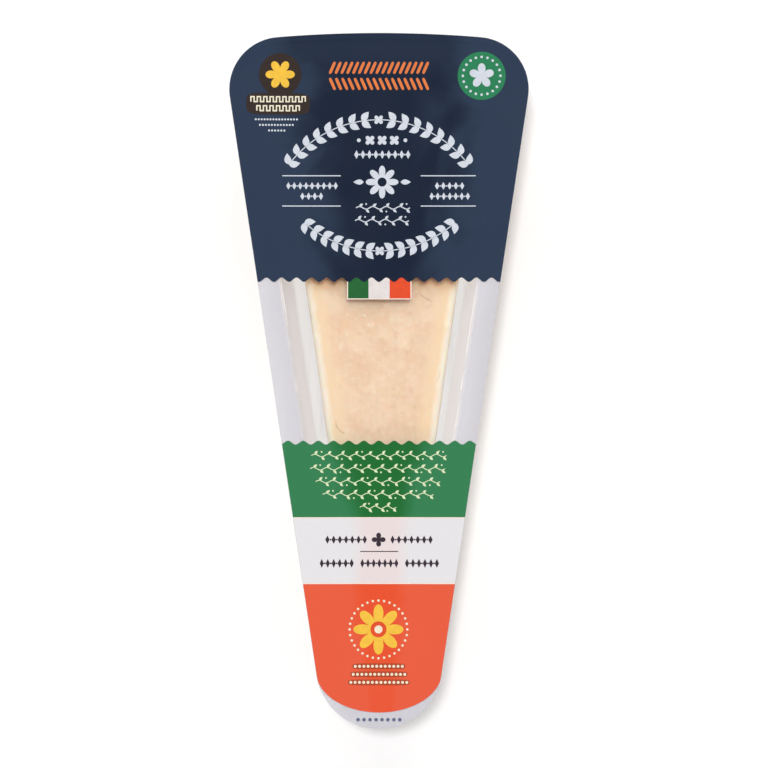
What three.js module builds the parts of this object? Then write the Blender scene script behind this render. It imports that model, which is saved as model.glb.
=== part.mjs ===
// A chunk of parmesan sealed in its shop pack, lying on its tray with the film on top.
// The chunk is a sector of a cheese wheel, cut off short of the wheel's centre, with the rind at its wide end.
// The pack is a clear thermoformed tray with a flange all round and a film sealed onto that flange.
// Millimetres, +Z up, +Y towards the wide end. The origin is the middle of the pack, on the table.
import * as THREE from "three";
import { mergeVertices } from "three/addons/utils/BufferGeometryUtils.js";

// The pack's outline seen from above: a wedge with a round tip, round corners and a slightly bowed wide end.
const PACK_LENGTH = 200;
const SIDE_ANGLE = THREE.MathUtils.degToRad(8.53);
const TIP_RADIUS = 18.2;
const CORNER_RADIUS = 15;
const WIDE_END_RADIUS = 360;

// The tray. Its flange is wider at the tip, where the film is peeled.
const TRAY_DEPTH = 33;
const TRAY_WALL = 0.6;
const FLANGE_SIDE = 6.1;
const FLANGE_WIDE_END = 6.8;
const FLANGE_TIP = 10;
const CAVITY_CORNER_RADIUS = 10;
const WALL_DRAFT = THREE.MathUtils.degToRad(5);
const RIM_RADIUS = 1.2;
const BASE_RADIUS = 4;

// The film, which sags a little over the cavity.
const FILM_THICKNESS = 0.4;
const FILM_SAG = 0.6;
const FILM_SAG_REACH = 10;

// The cheese: a sector of the wheel, from the rind in to a blunt tip, a little to the right of the middle.
const WHEEL_RADIUS = 213;
const RIND_CREST_Y = 86;
const SECTOR_HALF_SLOPE = 0.141;
const CHEESE_X = 0.4;
const CHEESE_TIP_Y = -79;
const CHEESE_THICKNESS = 28.6;
const CHEESE_EDGE = 1.8;
const SIDE_LEAN = 0.9;
const TIP_CRUMBLE = 1.2;

// Steps along each stretch of the outline, along each curve of the tray's section, and down the film's dip.
const TIP_STEPS = 10;
const SIDE_STEPS = 8;
const CORNER_STEPS = 7;
const WIDE_END_STEPS = 5;
const SECTION_STEPS = 4;
const FILM_STEPS = 5;

// Steps of the cheese's surface across, along and up.
const CHEESE_STEPS = { across: 16, along: 54, up: 10 };

// The low relief of a cut face: waves of falling length, each turned by the golden angle.
const GOLDEN_ANGLE = Math.PI * (3 - Math.sqrt(5));
const RELIEF = { waves: 9, longest: 34, shrink: 0.74, height: 0.15, fade: 0.86 };

// Chips broken out along the cheese's upper edges and side faces, closer together towards the tip.
const CHIPS = { count: 18, radius: 4.6, depth: 0.8 };

const lerp = THREE.MathUtils.lerp;
const smoothstep = THREE.MathUtils.smoothstep;

// The outline taken in by its own amount at the sides, the tip and the wide end, from the tip anticlockwise.
// The tip's circle touches both sides, and each corner's circle touches its side and the bowed wide end.
function wedgeOutline(side, tip, wideEnd, corner) {
  const sin = Math.sin(SIDE_ANGLE);
  const cos = Math.cos(SIDE_ANGLE);
  const tipRadius = (TIP_RADIUS - side + (tip - TIP_RADIUS) * sin) / (1 - sin);
  const tipCentre = new THREE.Vector2(0, -PACK_LENGTH / 2 + tip + tipRadius);
  const outward = new THREE.Vector2(cos, -sin);
  const along = new THREE.Vector2(sin, cos);
  const sideStart = tipCentre.clone().addScaledVector(outward, tipRadius);

  const endRadius = WIDE_END_RADIUS - wideEnd;
  const endCentre = new THREE.Vector2(0, PACK_LENGTH / 2 - wideEnd - endRadius);
  const start = sideStart.clone().addScaledVector(outward, -corner).sub(endCentre);
  const reach = start.dot(along);
  const run = Math.sqrt(reach ** 2 - start.lengthSq() + (endRadius - corner) ** 2) - reach;
  const sideEnd = sideStart.clone().addScaledVector(along, run);
  const cornerCentre = sideEnd.clone().addScaledVector(outward, -corner);
  const cornerEnd = cornerCentre.clone().sub(endCentre).angle();

  const right = [];
  const arc = (centre, radius, from, to, steps) => {
    for (let i = 0; i < steps; i++) {
      const a = lerp(from, to, i / steps);
      right.push(new THREE.Vector2(centre.x + radius * Math.cos(a), centre.y + radius * Math.sin(a)));
    }
  };
  arc(tipCentre, tipRadius, -Math.PI / 2, -SIDE_ANGLE, TIP_STEPS);
  for (let i = 0; i < SIDE_STEPS; i++) right.push(sideStart.clone().lerp(sideEnd, i / SIDE_STEPS));
  arc(cornerCentre, corner, -SIDE_ANGLE, cornerEnd, CORNER_STEPS);
  arc(endCentre, endRadius, cornerEnd, Math.PI / 2, WIDE_END_STEPS);

  right[0].x = 0;
  const top = new THREE.Vector2(0, PACK_LENGTH / 2 - wideEnd);
  const left = right.slice(1).map((p) => new THREE.Vector2(-p.x, p.y));
  return [...right, top, ...left.reverse()];
}

// The pack's outer edge at one height.
function edgeRing(z) {
  return wedgeOutline(0, 0, 0, CORNER_RADIUS).map((p) => new THREE.Vector3(p.x, p.y, z));
}

// The cavity's rim taken in by an inset, at one height. A negative inset lies on the flange.
function cavityRing(inset, z) {
  const corner = CAVITY_CORNER_RADIUS - inset;
  const outline = wedgeOutline(FLANGE_SIDE + inset, FLANGE_TIP + inset, FLANGE_WIDE_END + inset, corner);
  return outline.map((p) => new THREE.Vector3(p.x, p.y, z));
}

// A closed body through a row of rings. Its first ring is capped facing up and its last facing down.
// Each ring mirrors itself from its first point, so a cap is a strip between the two sides.
function ringSolid(rings) {
  const count = rings[0].length;
  const positions = rings.flat().flatMap((p) => [p.x, p.y, p.z]);
  const index = [];
  for (let r = 0; r + 1 < rings.length; r++) {
    for (let i = 0; i < count; i++) {
      const [a, b] = [r * count + i, r * count + ((i + 1) % count)];
      index.push(a, a + count, b + count, a, b + count, b);
    }
  }
  const cap = (first, facingUp) => {
    const face = (...corners) => index.push(...(facingUp ? corners : corners.reverse()));
    for (let i = 0; i < count / 2; i++) {
      const [right, rightNext] = [first + i, first + i + 1];
      const [left, leftNext] = [first + ((count - i) % count), first + count - i - 1];
      const last = rightNext === leftNext;
      if (!last) face(rightNext, leftNext, right);
      if (i > 0) face(right, last ? rightNext : leftNext, left);
    }
  };
  cap(0, true);
  cap((rings.length - 1) * count, false);
  const geometry = new THREE.BufferGeometry();
  geometry.setAttribute("position", new THREE.Float32BufferAttribute(positions, 3));
  geometry.setIndex(index);
  geometry.computeVertexNormals();
  return geometry;
}

// The outside of the tray's section: its flat base, a round edge, the sloping wall and the turn to the flange.
// The first coordinate runs outward from the cavity's rim, and the second is the height.
function traySection() {
  const slope = Math.tan(WALL_DRAFT);
  const flangeUnder = TRAY_DEPTH - TRAY_WALL;
  const foot = -flangeUnder * slope;
  const section = new THREE.Path();
  section.moveTo(foot - BASE_RADIUS, 0);
  section.quadraticCurveTo(foot, 0, foot + BASE_RADIUS * slope, BASE_RADIUS);
  section.lineTo(-RIM_RADIUS * slope, flangeUnder - RIM_RADIUS);
  section.quadraticCurveTo(0, flangeUnder, RIM_RADIUS, flangeUnder);
  return section.getPoints(SECTION_STEPS);
}

// A section moved by the wall's thickness, square to itself, with level ends.
function thickened(section) {
  return section.map((p, i) => {
    if (i === 0 || i === section.length - 1) return new THREE.Vector2(p.x, p.y + TRAY_WALL);
    const along = section[i + 1].clone().sub(section[i - 1]).normalize();
    return new THREE.Vector2(p.x - along.y * TRAY_WALL, p.y + along.x * TRAY_WALL);
  });
}

// The clear tray: an open shell with a flat base and a flat flange.
function trayGeometry() {
  const outside = traySection();
  const inside = thickened(outside);
  return ringSolid([
    ...inside.map((p) => cavityRing(-p.x, p.y)),
    edgeRing(TRAY_DEPTH),
    edgeRing(TRAY_DEPTH - TRAY_WALL),
    ...outside.reverse().map((p) => cavityRing(-p.x, p.y)),
  ]);
}

// The film: flat where it is sealed to the flange, and dipping smoothly to a flat middle over the cavity.
function filmGeometry() {
  const dip = Array.from({ length: FILM_STEPS + 1 }, (_, i) => {
    const inset = (i / FILM_STEPS) * FILM_SAG_REACH;
    return { inset, z: TRAY_DEPTH - FILM_SAG * smoothstep(inset, 0, FILM_SAG_REACH) };
  });
  const corner = (inset) => Math.min(inset, CAVITY_CORNER_RADIUS - 1);
  const ring = (inset, z) => cavityRing(corner(inset), z);
  return ringSolid([
    ...dip.map(({ inset, z }) => ring(inset, z + FILM_THICKNESS)).reverse(),
    edgeRing(TRAY_DEPTH + FILM_THICKNESS),
    edgeRing(TRAY_DEPTH),
    ...dip.map(({ inset, z }) => ring(inset, z)),
  ]);
}

// Height of the cut faces' relief at a point: a sum of sine waves, each shorter, lower and turned further.
function relief(x, y, z) {
  let sum = 0;
  for (let i = 0; i < RELIEF.waves; i++) {
    const turn = i * GOLDEN_ANGLE;
    const k = (2 * Math.PI) / (RELIEF.longest * RELIEF.shrink ** i);
    const phase = k * (x * Math.cos(turn) + y * Math.sin(turn) + z * Math.sin(2 * turn)) + i * i;
    sum += RELIEF.height * RELIEF.fade ** i * Math.sin(phase);
  }
  return sum;
}

// Half the sector's width at a place along the chunk.
function sectorHalfWidth(y) {
  return (y - RIND_CREST_Y + WHEEL_RADIUS) * SECTOR_HALF_SLOPE;
}

// The middles of the chips, which take turns between left and right, one in three of them down on a side face.
function chipCentres(baseZ) {
  return Array.from({ length: CHIPS.count }, (_, i) => {
    const along = ((i + 0.5) / CHIPS.count) ** 2;
    const y = lerp(CHEESE_TIP_Y, RIND_CREST_Y, along);
    const up = i % 3 ? 1 : 0.5 + 0.3 * Math.sin(i);
    const side = i % 2 ? 1 : -1;
    const size = 0.6 + 0.4 * Math.sin(GOLDEN_ANGLE * i) ** 2;
    const at = new THREE.Vector3(side * sectorHalfWidth(y), y, baseZ + up * CHEESE_THICKNESS);
    return { at, side, size };
  });
}

// A box coordinate from -1 to 1 as a distance, with its outermost step only as wide as the worn edge.
function spread(unit, steps, half) {
  const inner = 1 - 2 / steps;
  return Math.abs(unit) > inner + 1e-6 ? Math.sign(unit) * half : (unit / inner) * (half - CHEESE_EDGE);
}

// The cheese: a box whose width follows the sector, whose rind follows the wheel, and whose edges are worn.
// Its side faces lean out downwards, and relief and chips are on every face but the rind and the base.
function cheeseGeometry(baseZ) {
  const { across, along, up } = CHEESE_STEPS;
  const box = new THREE.BoxGeometry(2, 2, 2, across, along, up);
  box.deleteAttribute("normal");
  box.deleteAttribute("uv");
  const geometry = mergeVertices(box);
  const position = geometry.getAttribute("position");
  const chips = chipCentres(baseZ);
  const middleY = (CHEESE_TIP_Y + RIND_CREST_Y) / 2;
  const halfLength = (RIND_CREST_Y - CHEESE_TIP_Y) / 2;
  const edgePull = CHEESE_EDGE * (1 - Math.SQRT1_2);
  const unit = new THREE.Vector3();

  for (let i = 0; i < position.count; i++) {
    unit.fromBufferAttribute(position, i);
    const onTip = unit.y < -0.999;
    const onRind = unit.y > 0.999;
    const onTop = unit.z > 0.999;
    const onBase = unit.z < -0.999;
    const onSide = Math.abs(unit.x) > 0.999;
    const atEdge = [onSide, onTip || onRind, onTop || onBase].filter(Boolean).length > 1;
    const pull = atEdge ? edgePull : 0;

    let y = middleY + spread(unit.y, along, halfLength);
    const halfWidth = sectorHalfWidth(y) - SIDE_LEAN * (unit.z + 1) * 0.5;
    let x = spread(unit.x, across, halfWidth);
    let z = baseZ + CHEESE_THICKNESS / 2 + spread(unit.z, up, CHEESE_THICKNESS / 2);
    y -= (x ** 2 / (2 * WHEEL_RADIUS)) * smoothstep(y, 0, RIND_CREST_Y);

    const height = relief(x, y, z);
    if (onTip) y += pull + TIP_CRUMBLE * (0.5 + 0.5 * Math.sin(x * 1.1 + z * 0.6) * Math.cos(z * 0.9));
    if (onRind) y -= pull;
    if (onTop) z += height - pull;
    if (onBase) z += pull;
    if (onSide) x += Math.sign(x) * (height * (onBase ? 0 : 1) - pull);
    const point = new THREE.Vector3(x, y, z);
    for (const { at, side, size } of onBase || onRind ? [] : chips) {
      const share = 1 - point.distanceToSquared(at) / (CHIPS.radius * size) ** 2;
      const gone = CHIPS.depth * size * Math.max(share, 0);
      if (onSide) x -= side * gone;
      if (onTop) z -= gone;
    }
    position.setXYZ(i, x + CHEESE_X, y, z);
  }
  geometry.computeVertexNormals();
  return geometry;
}

// A clear, faintly lilac plastic, for the tray.
const clearPlastic = new THREE.MeshStandardMaterial({
  color: 0xe6e4ea,
  roughness: 0.12,
  metalness: 0,
  transparent: true,
  opacity: 0.35,
});

// The printed film's main ink, a dark navy under gloss.
const printedFilm = new THREE.MeshStandardMaterial({ color: 0x2c3a52, roughness: 0.28, metalness: 0 });

// The pale straw of a long-matured hard cheese.
const hardCheese = new THREE.MeshStandardMaterial({ color: 0xefd0b0, roughness: 0.62, metalness: 0 });

function named(name, geometry, material) {
  const mesh = new THREE.Mesh(geometry, material);
  mesh.name = name;
  return mesh;
}

const pack = new THREE.Group();
pack.name = "parmesan_pack";
pack.add(named("tray", trayGeometry(), clearPlastic));
pack.add(named("cheese_chunk", cheeseGeometry(TRAY_WALL), hardCheese));
pack.add(named("lid_film", filmGeometry(), printedFilm));

export default pack;
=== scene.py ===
"""A chunk of parmesan in its sealed shop pack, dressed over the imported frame.

The pack lies on its tray with the film up. Its outline is a wedge: two straight sides, a round tip, round
corners and a slightly bowed wide end. Lengths are in millimetres up to the point where a mesh is made.
"""

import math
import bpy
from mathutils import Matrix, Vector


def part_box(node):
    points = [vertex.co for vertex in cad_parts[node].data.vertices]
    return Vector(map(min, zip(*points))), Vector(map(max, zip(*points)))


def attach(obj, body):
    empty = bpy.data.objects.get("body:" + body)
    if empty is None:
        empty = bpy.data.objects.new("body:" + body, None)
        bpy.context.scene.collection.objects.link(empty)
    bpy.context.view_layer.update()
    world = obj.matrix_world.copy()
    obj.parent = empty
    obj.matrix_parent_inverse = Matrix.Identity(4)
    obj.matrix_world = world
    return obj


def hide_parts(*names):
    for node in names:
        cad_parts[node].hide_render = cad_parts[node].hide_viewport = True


bl_info = {
    "name": "Parmesan Pack",
    "version": (1, 0, 0),
    "blender": (4, 5, 0),
    "location": "3D View > Sidebar > Parmesan Pack",
    "description": "Builds a chunk of parmesan in its clear tray under a printed film",
    "category": "Object",
}

import bmesh
import bpy
import numpy as np
from bpy.props import FloatProperty, FloatVectorProperty, IntProperty, PointerProperty

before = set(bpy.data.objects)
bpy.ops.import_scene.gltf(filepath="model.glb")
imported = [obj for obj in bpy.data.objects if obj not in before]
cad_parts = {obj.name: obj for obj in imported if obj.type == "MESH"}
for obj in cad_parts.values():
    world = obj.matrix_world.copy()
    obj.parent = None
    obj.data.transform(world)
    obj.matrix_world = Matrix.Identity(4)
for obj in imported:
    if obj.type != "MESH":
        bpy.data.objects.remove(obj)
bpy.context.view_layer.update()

MM = 0.001

TRAY_BOX = np.array(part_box("tray")) / MM
CHEESE_BOX = np.array(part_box("cheese_chunk")) / MM

# The outline of the pack, in millimetres.
PACK_LENGTH = TRAY_BOX[1][1] - TRAY_BOX[0][1]
SIDE_ANGLE = math.radians(8.53)
TIP_RADIUS = 18.2
CORNER_RADIUS = 15.0
WIDE_END_RADIUS = 360.0

# The tray.
TRAY_DEPTH = TRAY_BOX[1][2]
FLANGE_SIDE = 6.1
FLANGE_WIDE_END = 6.8
FLANGE_TIP = 10.0
CAVITY_CORNER_RADIUS = 10.0
WALL_DRAFT = math.radians(5)
RIM_RADIUS = 1.2
BASE_RADIUS = 4.0

# The film over the tray. Its rings shrink to a spine along the pack. Ink lies on it in thin layers.
FILM_SAG = 0.6
FILM_SAG_REACH = 10.0
FILM_SPINE_Y = (-70, 60)
SEAL_MARGIN = 1.9
SEAL_STEP = 0.06
INK_LIFT = 0.03
INK_SHINE = 0.3
INK_ROUGHNESS = 0.36

# The clear tray's looks. A band's numbers are where it begins and where it is full, below the tray's top.
WELD_BAND = (1.2, 0.5)
WELD_HAZE = 0.47
# A painted highlight along the rim: where it begins and ends, its haze and its tint.
GLEAM_FOOT = (3.2, 2.0)
GLEAM_HEAD = (1.4, 0.9)
RIM_GLEAM = 0.66
GLEAM_TINT = (1.0, 0.93, 0.87)
WALL_LIFT = 0.8
# The walls' glow is painted light, not a lamp.
WALL_GLOW = 0.35
WALL_GLOW_TINT = (1.0, 0.96, 0.95)

# The chunk: a sector of a wheel. Its half width is the slope times the distance from the wheel's middle.
WHEEL_RADIUS = 213.0
SECTOR_HALF_SLOPE = 0.1423
CHEESE_X = 0.82
RIND_CREST_Y = 86.0
CHEESE_TIP_Y = -79.0
WHEEL_MIDDLE_Y = RIND_CREST_Y - WHEEL_RADIUS
CHEESE_BASE = CHEESE_BOX[0][2]
CHEESE_THICKNESS = 28.6

# One crack is an arc, its radius wandering between two. It fades out to the right and away from the tip.
ARC_MIDDLE = (-8.1, -11.2)
ARC_RADIUS = (4.2, 4.7)
ARC_FADE_X = (-10.5, -9.6)
ARC_FADE_Y = (-12.2, -11.3)

# The print, as places along the pack: where each field of colour ends.
NAVY_EDGE_Y = 29.1
GREEN_EDGE_Y = -17.7
GREEN_TO_WHITE_Y = -39.3
WHITE_TO_ORANGE_Y = -58.06
ORANGE_ARC_Y = -83.4
ORANGE_ARC = (18.1, 11.85)
NAVY_WAVE = (4.31, 0.63)
GREEN_WAVE = (4.355, 0.55)
TAB_STRIPES_X = (-8.9, -3.0, 3.05, 9.05)
TAB_BOTTOM_Y = 23.75
UNDERPRINT = 0.3
PRINT_COLUMNS = 321
PRINT_INSET = 0.1

# The cheese has painted shade, darker and warmer, from here to the navy field. The ink pales past the
# cheese's ends, which are 82.5 from the cheese's middle: a painted sheen.
PAINTED_SHADE_START_Y = 24.5
PAST_CHEESE = (80, 92)
PAST_CHEESE_SHARE = 0.36

# The stage. The floor shines faintly, so that it is white up to the pack. The photograph's frame is this wide
# at the film, and has this place in its middle.
FLOOR_GLOW = 0.07
ROOM_GLOW = 0.24
PHOTO_WIDTH = 220.7
PHOTO_MIDDLE = (1.44, -0.86)


def linear(red, green, blue):
    """An sRGB colour given in 255ths, as linear light."""
    c = np.array((red, green, blue)) / 255
    return tuple(np.where(c <= 0.04045, c / 12.92, ((c + 0.055) / 1.055) ** 2.4))


def smoothstep(value):
    """0 up to 0, 1 from 1 on, and 3t2 - 2t3 between."""
    t = np.clip(value, 0, 1)
    return t * t * (3 - 2 * t)


def lattice_noise(points, spacing, seed):
    """Smooth noise from -1 to 1: random numbers on a cubic lattice, blended between by smoothstep."""
    side = 32
    table = np.random.default_rng(seed).uniform(-1, 1, (side, side, side))
    place = np.asarray(points) / spacing
    cell = np.floor(place).astype(int)
    share = smoothstep(place - cell)
    total = np.zeros(place.shape[:-1])
    for corner in np.ndindex(2, 2, 2):
        weight = np.prod(np.where(corner, share, 1 - share), axis=-1)
        x, y, z = np.moveaxis((cell + corner) % side, -1, 0)
        total += weight * table[x, y, z]
    return total


class Wedge:
    """The pack's outline taken in by its own amount at the sides, the tip and the wide end.

    The tip is a circle that touches both sides. Each corner is a circle that touches its side and the
    wide end's long arc.
    """

    def __init__(self, side=0.0, tip=0.0, wide_end=0.0, corner=CORNER_RADIUS):
        sin, cos = math.sin(SIDE_ANGLE), math.cos(SIDE_ANGLE)
        self.tip_radius = (TIP_RADIUS - side + (tip - TIP_RADIUS) * sin) / (1 - sin)
        self.tip_y = -PACK_LENGTH / 2 + tip + self.tip_radius
        self.end_radius = WIDE_END_RADIUS - wide_end
        self.end_y = PACK_LENGTH / 2 - wide_end - self.end_radius
        self.corner = corner
        outward, along = np.array((cos, -sin)), np.array((sin, cos))
        tip_centre, end_centre = np.array((0, self.tip_y)), np.array((0, self.end_y))
        start = tip_centre + outward * (self.tip_radius - corner) - end_centre
        reach = start @ along
        run = math.sqrt(reach**2 - start @ start + (self.end_radius - corner) ** 2) - reach
        self.side_start = tip_centre + outward * self.tip_radius
        self.corner_centre = tip_centre + outward * (self.tip_radius - corner) + along * run
        self.side_end = self.corner_centre + outward * corner
        to_corner = self.corner_centre - end_centre
        self.corner_turn = math.atan2(to_corner[1], to_corner[0])
        self.corner_end = self.corner_centre + to_corner * corner / np.linalg.norm(to_corner)

    def half_width(self, y):
        """Half the width at a place along the pack, by its tip circle, side, corner or wide end."""
        y = np.asarray(y, float)

        def circle(centre_x, centre_y, radius):
            return centre_x + np.sqrt(np.maximum(radius**2 - (y - centre_y) ** 2, 0))

        side = self.side_start[0] + (y - self.side_start[1]) * math.tan(SIDE_ANGLE)
        parts = [
            (y < self.side_start[1], circle(0, self.tip_y, self.tip_radius)),
            (y < self.side_end[1], side),
            (y < self.corner_end[1], circle(*self.corner_centre, self.corner)),
        ]
        return np.select(*zip(*parts), default=circle(0, self.end_y, self.end_radius))

    def depth(self, x, y):
        """How far inside the outline a point is, from the nearest side, tip, corner or wide end."""
        sin, cos = math.sin(SIDE_ANGLE), math.cos(SIDE_ANGLE)
        x, up = np.abs(x), y - self.tip_y
        side = self.tip_radius - (x * cos - up * sin)
        tip = self.tip_radius - np.hypot(x, up)
        end = self.end_radius - np.hypot(x, y - self.end_y)
        straight = np.minimum(np.where(x * sin + up * cos < 0, tip, side), end)
        cx, cy = x - self.corner_centre[0], y - self.corner_centre[1]
        turn = np.arctan2(cy, cx)
        round_corner = (turn > -SIDE_ANGLE) & (turn < self.corner_turn)
        return np.where(round_corner, self.corner - np.hypot(cx, cy), straight)

    def ring(self):
        """Points once round the outline, anticlockwise from the tip, each side mirroring the other."""

        def arc(centre, radius, start, end, steps):
            turn = np.linspace(start, end, steps, endpoint=False)
            return np.stack([centre[0] + radius * np.cos(turn), centre[1] + radius * np.sin(turn)], 1)

        share = np.linspace(0, 1, 40, endpoint=False)[:, None]
        right = np.concatenate([
            arc((0, self.tip_y), self.tip_radius, -math.pi / 2, -SIDE_ANGLE, 26),
            self.side_start + (self.side_end - self.side_start) * share,
            arc(self.corner_centre, self.corner, -SIDE_ANGLE, self.corner_turn, 20),
            arc((0, self.end_y), self.end_radius, self.corner_turn, math.pi / 2, 18),
        ])
        right[0, 0] = 0
        top = [(0, self.end_y + self.end_radius)]
        return np.concatenate([right, top, right[:0:-1] * (-1, 1)])


OUTLINE = Wedge()


def cavity(inset=0.0):
    """The rim of the tray's cavity taken in by an inset, or out onto the flange by a negative one."""
    corner = max(CAVITY_CORNER_RADIUS - inset, 1.0)
    return Wedge(FLANGE_SIDE + inset, FLANGE_TIP + inset, FLANGE_WIDE_END + inset, corner)


CAVITY = cavity()


def film_height(x, y):
    """Height of the film's upper face.

    It is level on the flange, steps up at the margin outside the seal, dips smoothly over the cavity, and
    has slow low waves there: the sum of three sines in different directions.
    """
    inside = CAVITY.depth(x, y)
    margin = SEAL_STEP * smoothstep((SEAL_MARGIN - OUTLINE.depth(x, y)) / 0.5 + 0.5)
    sag = FILM_SAG * smoothstep(inside / FILM_SAG_REACH)
    waves = 0.07 * np.sin(0.21 * x + 0.10 * y + 0.6)
    waves += 0.05 * np.sin(0.33 * x - 0.17 * y + 2.1)
    waves += 0.03 * np.sin(0.12 * x + 0.41 * y + 4.0)
    film = bpy.context.scene.pack_sizes.film_thickness / MM
    return TRAY_DEPTH + film + margin - sag + waves * smoothstep(inside / 14)


def grid_faces(rows, columns, wrap=False):
    """Quads between neighbouring points of a grid stored row by row. With wrap each row closes on itself."""
    row = np.arange(rows - 1)[:, None]
    column = np.arange(columns if wrap else columns - 1)[None, :]
    after = (column + 1) % columns
    corners = (row * columns + column, row * columns + after)
    return np.stack([*corners, corners[1] + columns, corners[0] + columns], -1).reshape(-1, 4)


def merge_doubles(mesh, distance=2e-6, outwards=True):
    """Merge a mesh's doubled points, and turn its faces outwards unless told not to."""
    shell = bmesh.new()
    shell.from_mesh(mesh)
    bmesh.ops.remove_doubles(shell, verts=shell.verts, dist=distance)
    if outwards:
        bmesh.ops.recalc_face_normals(shell, faces=shell.faces)
    shell.to_mesh(mesh)
    shell.free()


def make_piece(name, points, faces, material, tidy=False):
    """A mesh object at the origin, from points in millimetres."""
    mesh = bpy.data.meshes.new(name)
    mesh.from_pydata((np.reshape(points, (-1, 3)) * MM).tolist(), [], np.asarray(faces).tolist())
    if tidy:
        merge_doubles(mesh)
    mesh.polygons.foreach_set("use_smooth", np.ones(len(mesh.polygons), bool))
    mesh.materials.append(material)
    piece = bpy.data.objects.new(name, mesh)
    bpy.context.scene.collection.objects.link(piece)
    return piece


def ring_solid(rings):
    """A closed body through a row of rings of equal count, the first and last closed by strips.

    Each ring mirrors itself from its first point, so a strip runs between the two sides.
    """
    rings = np.array(rings)
    count = rings.shape[1]
    walls = grid_faces(len(rings), count, wrap=True)
    i = np.arange(count // 2)
    strip = np.stack([i, i + 1, count - i - 1, (count - i) % count], 1)
    base = (len(rings) - 1) * count
    return rings, [*walls.tolist(), *strip[:, ::-1].tolist(), *(strip + base).tolist()]


class Finish:
    """A material's nodes, with short calls for those that the finishes share.

    Its patterns read Object coordinates.
    """

    def __init__(self, name):
        self.material = bpy.data.materials.new(name)
        self.material.use_nodes = True
        self.nodes = self.material.node_tree.nodes
        self.links = self.material.node_tree.links
        self.shader = self.nodes["Principled BSDF"]
        self.place = self.nodes.new("ShaderNodeTexCoord").outputs["Object"]

    def put(self, node, sockets):
        """Set a node's sockets, each to a value or to what another node gives."""
        for key, value in sockets.items():
            if isinstance(value, bpy.types.NodeSocket):
                self.links.new(value, node.inputs[key])
            else:
                node.inputs[key].default_value = value
        return node

    def add(self, kind, sockets, **settings):
        node = self.nodes.new(kind)
        for key, value in settings.items():
            setattr(node, key, value)
        return self.put(node, sockets)

    def noise(self, size, detail=2.0, roughness=0.5, distortion=0.0, stretch=(1, 1, 1)):
        """Noise from 0 to 1 whose lumps are about a size in millimetres."""
        place = self.place
        if stretch != (1, 1, 1):
            place = self.add("ShaderNodeMapping", {"Vector": place, "Scale": stretch}).outputs[0]
        sockets = {"Vector": place, "Scale": 1 / (size * MM), "Detail": detail}
        sockets |= {"Roughness": roughness, "Distortion": distortion}
        return self.add("ShaderNodeTexNoise", sockets).outputs["Fac"]

    def wander(self, size, low, high, **noise):
        """Noise that wanders between two values."""
        return self.span(self.noise(size, **noise), 0.3, 0.7, low, high)

    def span(self, value, low, high, to_low=0.0, to_high=1.0):
        """A value carried from one range to another by smoothstep, and held at the ends."""
        sockets = {"Value": value, "From Min": low, "From Max": high, "To Min": to_low, "To Max": to_high}
        return self.add("ShaderNodeMapRange", sockets, interpolation_type="SMOOTHSTEP").outputs[0]

    def band(self, value, place, to_low=0.0, to_high=1.0):
        """A span whose two places are in millimetres."""
        return self.span(value, place[0] * MM, place[1] * MM, to_low, to_high)

    def math(self, operation, first, second=0.0):
        return self.add("ShaderNodeMath", {0: first, 1: second}, operation=operation).outputs[0]

    def plus(self, first, second):
        return self.math("ADD", first, second)

    def times(self, first, second):
        return self.math("MULTIPLY", first, second)

    def apart(self, first, second):
        """How far two values are apart."""
        return self.math("ABSOLUTE", self.math("SUBTRACT", first, second))

    def vector(self, operation, first, second=(0, 0, 0)):
        return self.add("ShaderNodeVectorMath", {0: first, 1: second}, operation=operation).outputs

    def axes(self):
        """The place's X, Y and Z, each on a socket of its own."""
        return self.add("ShaderNodeSeparateXYZ", {0: self.place}).outputs

    def mix(self, share, first, second, blend="MIX"):
        """A colour between two others."""
        colours = [c if isinstance(c, bpy.types.NodeSocket) else (*c[:3], 1) for c in (first, second)]
        sockets = {0: share, 6: colours[0], 7: colours[1]}
        return self.add("ShaderNodeMix", sockets, data_type="RGBA", blend_type=blend).outputs[2]

    def bump(self, height, depth, normal=None):
        """A normal from a height from 0 to 1 that stands for a depth in millimetres."""
        sockets = {"Height": height, "Distance": depth * MM, "Strength": 1.0}
        if normal:
            sockets["Normal"] = normal
        return self.add("ShaderNodeBump", sockets).outputs[0]


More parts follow.
